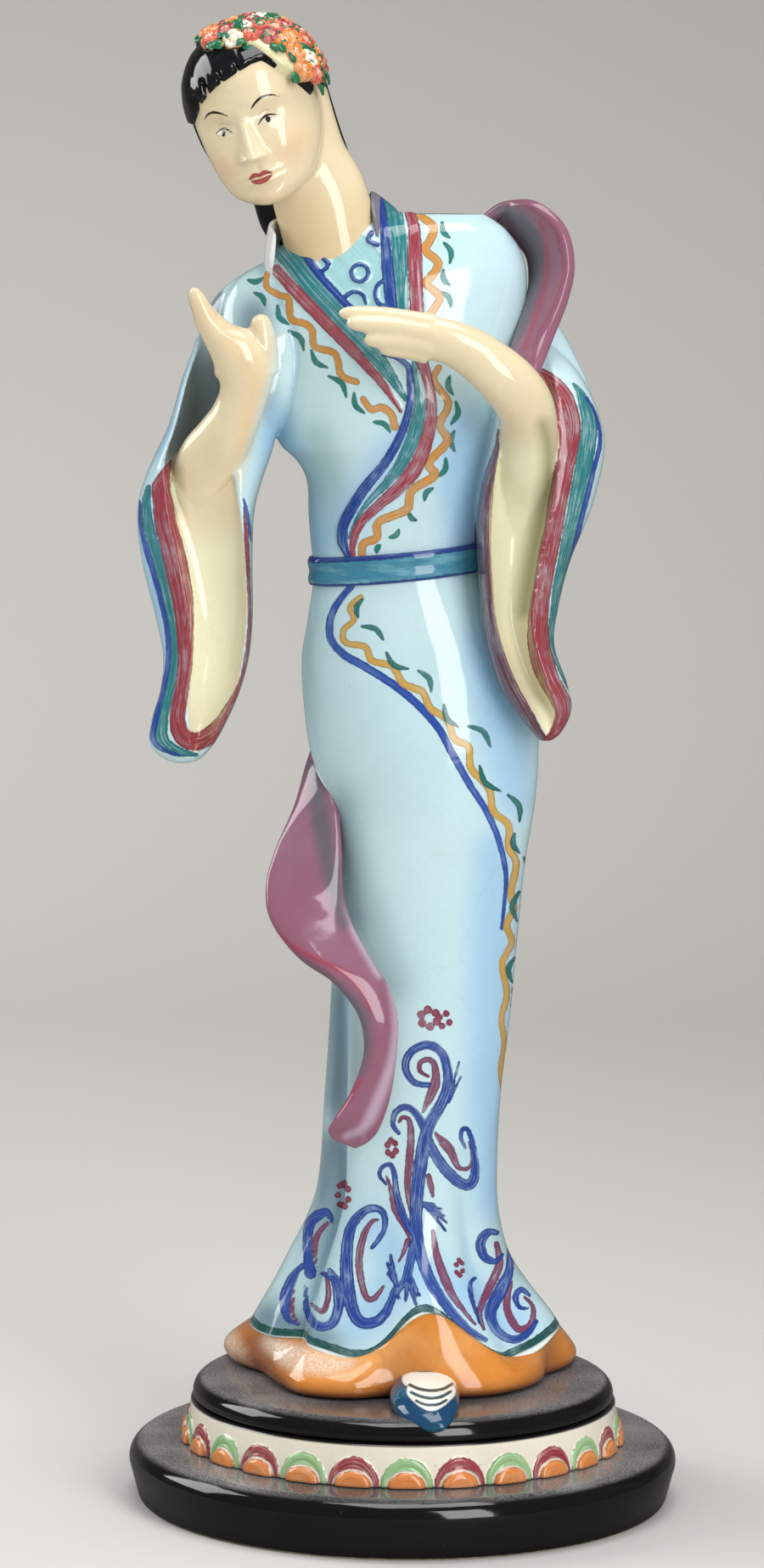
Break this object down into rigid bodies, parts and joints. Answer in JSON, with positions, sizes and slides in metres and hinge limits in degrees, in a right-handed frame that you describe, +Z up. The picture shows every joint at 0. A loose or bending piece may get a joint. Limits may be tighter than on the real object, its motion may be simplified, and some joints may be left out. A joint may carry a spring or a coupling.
{
  "type": "dancer figurine",
  "caption": "Glazed earthenware figurine of a dancer in a long wrapped robe with hanging sleeves and a scarf, standing on a round stepped plinth.",
  "frame": {"origin": "middle of the plinth's underside, on the surface that it stands on", "axes": "+Z up the figure, -Y towards the viewer, +X to the viewer's right"},
  "size_m": [0.1598, 0.1598, 0.4293],
  "materials": {
    "black_glaze": "black high-gloss glaze, dusty grey on the flat tops",
    "cream_glaze": "cream gloss glaze with painted shells",
    "amber_glaze": "amber gloss glaze, brown in the edges",
    "robe_glaze": "pale aqua gloss glaze, hand painted bands and scrolls",
    "sash_glaze": "teal gloss glaze with brush streaks",
    "collar_glaze": "teal, blue and red brushed bands under gloss glaze",
    "skin_glaze": "cream gloss glaze with a peach blush",
    "hair_glaze": "black gloss glaze",
    "flower_glaze": "painted crimson, orange and green flowers under gloss glaze",
    "scarf_glaze": "mauve gloss glaze with dark shading",
    "shoe_glaze": "dark blue gloss glaze with a white vamp"
  },
  "bodies": {
    "root": {"plinth_foot": "black_glaze", "plinth_drum": "cream_glaze", "plinth_deck": "black_glaze", "shoe": "shoe_glaze", "underskirt_hem": "amber_glaze", "skirt": "robe_glaze", "sash": "sash_glaze", "bodice": "robe_glaze", "right_sleeve": "robe_glaze", "left_sleeve": "robe_glaze", "right_hand": "skin_glaze", "left_hand": "skin_glaze", "head": "skin_glaze", "collar": "collar_glaze", "hair": "hair_glaze", "flower_garland": "flower_glaze", "scarf_shoulder_loop": "scarf_glaze", "scarf_hip_drape": "scarf_glaze", "scarf_back_band": "scarf_glaze"}
  },
  "joints": []
}
